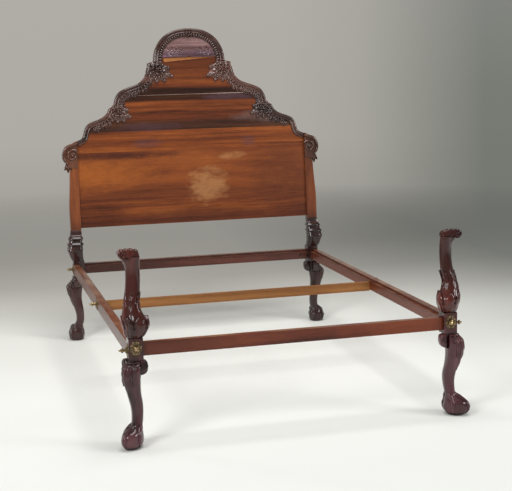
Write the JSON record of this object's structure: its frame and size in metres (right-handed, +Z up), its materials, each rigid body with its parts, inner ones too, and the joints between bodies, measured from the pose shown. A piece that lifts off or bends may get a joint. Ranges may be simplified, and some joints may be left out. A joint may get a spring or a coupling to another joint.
{
  "type": "carved wooden bed",
  "caption": "Carved wooden bed: raked headboard of horizontal boards with a stepped, moulded crest, cabriole legs, claw-and-ball feet, scrolled foot posts and brass bed bolts.",
  "frame": {"origin": "on the floor, in the middle of the bed's overall length and width", "axes": "+X to the right as seen from the foot end, +Y from the foot end to the head end, +Z up"},
  "size_m": [1.5792, 2.2032, 1.7919],
  "materials": {
    "carved_wood": "polished, dark stained",
    "board_wood": "polished, worn",
    "rail_wood": "waxed",
    "slat_wood": "bare",
    "brass": "dull, aged",
    "iron": "forged"
  },
  "bodies": {
    "bedstead": {"foot_post_left": "carved_wood", "foot_post_right": "carved_wood", "foot_ears_left": "carved_wood", "foot_ears_right": "carved_wood", "head_post_left": "carved_wood", "head_post_right": "carved_wood", "head_ears_left": "carved_wood", "head_ears_right": "carved_wood", "crest_arch": "carved_wood", "lunette": "carved_wood", "finial": "carved_wood", "crest_lower_left": "carved_wood", "crest_lower_right": "carved_wood", "crest_upper_left": "carved_wood", "crest_upper_right": "carved_wood", "spray_lower_left": "carved_wood", "spray_lower_right": "carved_wood", "spray_upper_left": "carved_wood", "spray_upper_right": "carved_wood", "shoulder_left": "carved_wood", "shoulder_right": "carved_wood", "headboard_board_1": "board_wood", "headboard_board_2": "board_wood", "headboard_board_3": "board_wood", "headboard_board_4": "board_wood", "headboard_board_5": "board_wood", "headboard_board_6": "board_wood", "side_rail_left": "rail_wood", "side_rail_right": "rail_wood", "head_rail": "rail_wood", "foot_rail": "rail_wood", "cross_slat": "slat_wood", "bolt_plates": "brass", "plate_pins": "brass", "bolt_nuts": "iron"},
    "collar_foot_left_across": {"collar_foot_left_across": "brass"},
    "bolt_foot_left_across": {"bolt_foot_left_across": "brass"},
    "collar_foot_left_along": {"collar_foot_left_along": "brass"},
    "bolt_foot_left_along": {"bolt_foot_left_along": "brass"},
    "collar_foot_right_across": {"collar_foot_right_across": "brass"},
    "bolt_foot_right_across": {"bolt_foot_right_across": "brass"},
    "collar_foot_right_along": {"collar_foot_right_along": "brass"},
    "bolt_foot_right_along": {"bolt_foot_right_along": "brass"},
    "collar_head_left_across": {"collar_head_left_across": "brass"},
    "bolt_head_left_across": {"bolt_head_left_across": "brass"},
    "collar_head_left_along": {"collar_head_left_along": "brass"},
    "bolt_head_left_along": {"bolt_head_left_along": "brass"},
    "collar_head_right_across": {"collar_head_right_across": "brass"},
    "bolt_head_right_across": {"bolt_head_right_across": "brass"},
    "collar_head_right_along": {"collar_head_right_along": "brass"},
    "bolt_head_right_along": {"bolt_head_right_along": "brass"},
    "collar_slat_left": {"collar_slat_left": "brass"},
    "bolt_slat_left": {"bolt_slat_left": "brass"},
    "collar_slat_right": {"collar_slat_right": "brass"},
    "bolt_slat_right": {"bolt_slat_right": "brass"}
  },
  "joints": [
    {"name": "foot_left_across_draw", "type": "slide", "parent": "bedstead", "child": "collar_foot_left_across", "axis": [-1, 0, 0], "range_m": [0, 0.02]},
    {"name": "foot_left_across_turn", "type": "hinge", "parent": "collar_foot_left_across", "child": "bolt_foot_left_across", "pos_m": [-0.741, -1.02685, 0.418], "axis": [-1, 0, 0], "range_deg": [0, 2880]},
    {"name": "foot_left_along_draw", "type": "slide", "parent": "bedstead", "child": "collar_foot_left_along", "axis": [0, -1, 0], "range_m": [0, 0.02]},
    {"name": "foot_left_along_turn", "type": "hinge", "parent": "collar_foot_left_along", "child": "bolt_foot_left_along", "pos_m": [-0.71, -1.05785, 0.429], "axis": [0, -1, 0], "range_deg": [0, 2880]},
    {"name": "foot_right_across_draw", "type": "slide", "parent": "bedstead", "child": "collar_foot_right_across", "axis": [1, 0, 0], "range_m": [0, 0.02]},
    {"name": "foot_right_across_turn", "type": "hinge", "parent": "collar_foot_right_across", "child": "bolt_foot_right_across", "pos_m": [0.741, -1.02685, 0.418], "axis": [1, 0, 0], "range_deg": [0, 2880]},
    {"name": "foot_right_along_draw", "type": "slide", "parent": "bedstead", "child": "collar_foot_right_along", "axis": [0, -1, 0], "range_m": [0, 0.02]},
    {"name": "foot_right_along_turn", "type": "hinge", "parent": "collar_foot_right_along", "child": "bolt_foot_right_along", "pos_m": [0.71, -1.05785, 0.429], "axis": [0, -1, 0], "range_deg": [0, 2880]},
    {"name": "head_left_across_draw", "type": "slide", "parent": "bedstead", "child": "collar_head_left_across", "axis": [-1, 0, 0], "range_m": [0, 0.02]},
    {"name": "head_left_across_turn", "type": "hinge", "parent": "collar_head_left_across", "child": "bolt_head_left_across", "pos_m": [-0.741, 0.97315, 0.418], "axis": [-1, 0, 0], "range_deg": [0, 2880]},
    {"name": "head_left_along_draw", "type": "slide", "parent": "bedstead", "child": "collar_head_left_along", "axis": [0, 1, 0], "range_m": [0, 0.02]},
    {"name": "head_left_along_turn", "type": "hinge", "parent": "collar_head_left_along", "child": "bolt_head_left_along", "pos_m": [-0.71, 1.00415, 0.429], "axis": [0, 1, 0], "range_deg": [0, 2880]},
    {"name": "head_right_across_draw", "type": "slide", "parent": "bedstead", "child": "collar_head_right_across", "axis": [1, 0, 0], "range_m": [0, 0.02]},
    {"name": "head_right_across_turn", "type": "hinge", "parent": "collar_head_right_across", "child": "bolt_head_right_across", "pos_m": [0.741, 0.97315, 0.418], "axis": [1, 0, 0], "range_deg": [0, 2880]},
    {"name": "head_right_along_draw", "type": "slide", "parent": "bedstead", "child": "collar_head_right_along", "axis": [0, 1, 0], "range_m": [0, 0.02]},
    {"name": "head_right_along_turn", "type": "hinge", "parent": "collar_head_right_along", "child": "bolt_head_right_along", "pos_m": [0.71, 1.00415, 0.429], "axis": [0, 1, 0], "range_deg": [0, 2880]},
    {"name": "slat_left_draw", "type": "slide", "parent": "bedstead", "child": "collar_slat_left", "axis": [-1, 0, 0], "range_m": [0, 0.02]},
    {"name": "slat_left_turn", "type": "hinge", "parent": "collar_slat_left", "child": "bolt_slat_left", "pos_m": [-0.741, -0.05685, 0.4205], "axis": [-1, 0, 0], "range_deg": [0, 2880]},
    {"name": "slat_right_draw", "type": "slide", "parent": "bedstead", "child": "collar_slat_right", "axis": [1, 0, 0], "range_m": [0, 0.02]},
    {"name": "slat_right_turn", "type": "hinge", "parent": "collar_slat_right", "child": "bolt_slat_right", "pos_m": [0.741, -0.05685, 0.4205], "axis": [1, 0, 0], "range_deg": [0, 2880]}
  ],
  "couplings": [
    {"joint": "foot_left_across_turn", "follows": "foot_left_across_draw", "rad_per_m": 2513.3},
    {"joint": "foot_left_along_turn", "follows": "foot_left_along_draw", "rad_per_m": 2513.3},
    {"joint": "foot_right_across_turn", "follows": "foot_right_across_draw", "rad_per_m": 2513.3},
    {"joint": "foot_right_along_turn", "follows": "foot_right_along_draw", "rad_per_m": 2513.3},
    {"joint": "head_left_across_turn", "follows": "head_left_across_draw", "rad_per_m": 2513.3},
    {"joint": "head_left_along_turn", "follows": "head_left_along_draw", "rad_per_m": 2513.3},
    {"joint": "head_right_across_turn", "follows": "head_right_across_draw", "rad_per_m": 2513.3},
    {"joint": "head_right_along_turn", "follows": "head_right_along_draw", "rad_per_m": 2513.3},
    {"joint": "slat_left_turn", "follows": "slat_left_draw", "rad_per_m": 2513.3},
    {"joint": "slat_right_turn", "follows": "slat_right_draw", "rad_per_m": 2513.3}
  ]
}
